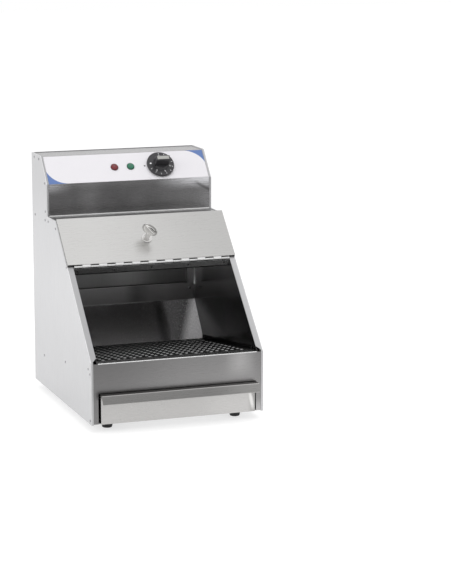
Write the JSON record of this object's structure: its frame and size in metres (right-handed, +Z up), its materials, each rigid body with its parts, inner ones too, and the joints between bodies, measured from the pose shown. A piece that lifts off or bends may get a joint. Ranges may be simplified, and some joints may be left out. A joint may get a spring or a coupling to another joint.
{
  "type": "chip warmer",
  "caption": "Counter-top stainless chip warmer with a sloping front, lockable hinged loading flap, perforated lift-out tray, crumb drawer and thermostat dial.",
  "frame": {"origin": "on the floor under the middle of the part's bounding box", "axes": "+Z up, -Y is the open front that the user faces, +X is the user's right"},
  "size_m": [0.3266, 0.4276, 0.4567],
  "materials": {
    "brushed_steel": "fine brushed stainless",
    "drawer_steel": "fine brushed stainless",
    "bright_steel": "bright annealed stainless that mirrors the dark well",
    "tray_steel": "perforated stainless",
    "zinc_steel": "zinc plated",
    "hinge_steel": "polished rolled edges",
    "fastener_steel": "bright",
    "element_steel": "oxidised heater sheath",
    "chrome": "polished",
    "film_white": "satin control film",
    "film_blue": "satin printed film",
    "red_lens": "clear red lens",
    "green_lens": "clear green lens",
    "black_plastic": "fine moulded",
    "grey_insert": "satin",
    "black_rubber": "matt"
  },
  "bodies": {
    "cabinet": {"back_panel": "brushed_steel", "back_screws": "fastener_steel", "base_plate": "zinc_steel", "cable_gland": "black_plastic", "compartment_deck": "brushed_steel", "control_hood": "brushed_steel", "cover_rivets": "fastener_steel", "element_clips": "zinc_steel", "fascia_film": "film_white", "film_corners": "film_blue", "foot_nuts": "zinc_steel", "front_apron": "brushed_steel", "gland_nut": "black_plastic", "green_pilot_lamp": "green_lens", "heater_cover": "bright_steel", "heater_panel": "bright_steel", "heating_element": "element_steel", "hinge_leaf_fixed": "hinge_steel", "hinge_pin": "hinge_steel", "hinge_rail": "zinc_steel", "hinge_rivets": "fastener_steel", "index_mark": "black_plastic", "lamp_nuts": "zinc_steel", "left_drawer_runner": "zinc_steel", "left_front_foot": "black_rubber", "left_inner_wall": "bright_steel", "left_rear_foot": "black_rubber", "left_side_panel": "brushed_steel", "left_side_rivets": "fastener_steel", "left_tray_support": "zinc_steel", "rear_chute": "bright_steel", "red_pilot_lamp": "red_lens", "right_drawer_runner": "zinc_steel", "right_front_foot": "black_rubber", "right_inner_wall": "bright_steel", "right_rear_foot": "black_rubber", "right_side_panel": "brushed_steel", "right_side_rivets": "fastener_steel", "right_tray_support": "zinc_steel", "terminal_block": "black_plastic", "thermostat_body": "zinc_steel", "thermostat_bulb": "element_steel"},
    "flap": {"loading_flap": "brushed_steel", "hinge_leaf_moving": "hinge_steel", "lock_barrel": "chrome", "lock_nut": "zinc_steel"},
    "lock_core": {"lock_plug": "chrome", "lock_cam": "zinc_steel", "cam_screw": "zinc_steel"},
    "key": {"key": "chrome"},
    "drawer": {"crumb_drawer": "drawer_steel", "drawer_front": "drawer_steel"},
    "tray": {"chip_tray": "tray_steel"},
    "knob": {"thermostat_knob": "black_plastic", "knob_insert": "grey_insert", "thermostat_spindle": "chrome"}
  },
  "joints": [
    {"name": "flap_hinge", "type": "hinge", "parent": "cabinet", "child": "flap", "pos_m": [0, -0.04647, 0.27461], "axis": [1, 0, 0], "range_deg": [0, 160]},
    {"name": "key_turn", "type": "hinge", "parent": "flap", "child": "lock_core", "pos_m": [0, -0.01147, 0.31385], "axis": [0, -0.7071, 0.7071], "range_deg": [-50, 40]},
    {"name": "key_pull", "type": "slide", "parent": "lock_core", "child": "key", "axis": [0, -0.7071, 0.7071], "range_m": [0, 0.03]},
    {"name": "drawer_slide", "type": "slide", "parent": "cabinet", "child": "drawer", "axis": [0, -1, 0], "range_m": [0, 0.25]},
    {"name": "tray_slide", "type": "slide", "parent": "cabinet", "child": "tray", "axis": [0, -0.9919, 0.1271], "range_m": [0, 0.26]},
    {"name": "knob_turn", "type": "hinge", "parent": "cabinet", "child": "knob", "pos_m": [0.0667, 0.11089, 0.43182], "axis": [0, 0.7539, -0.657], "range_deg": [0, 270]}
  ]
}
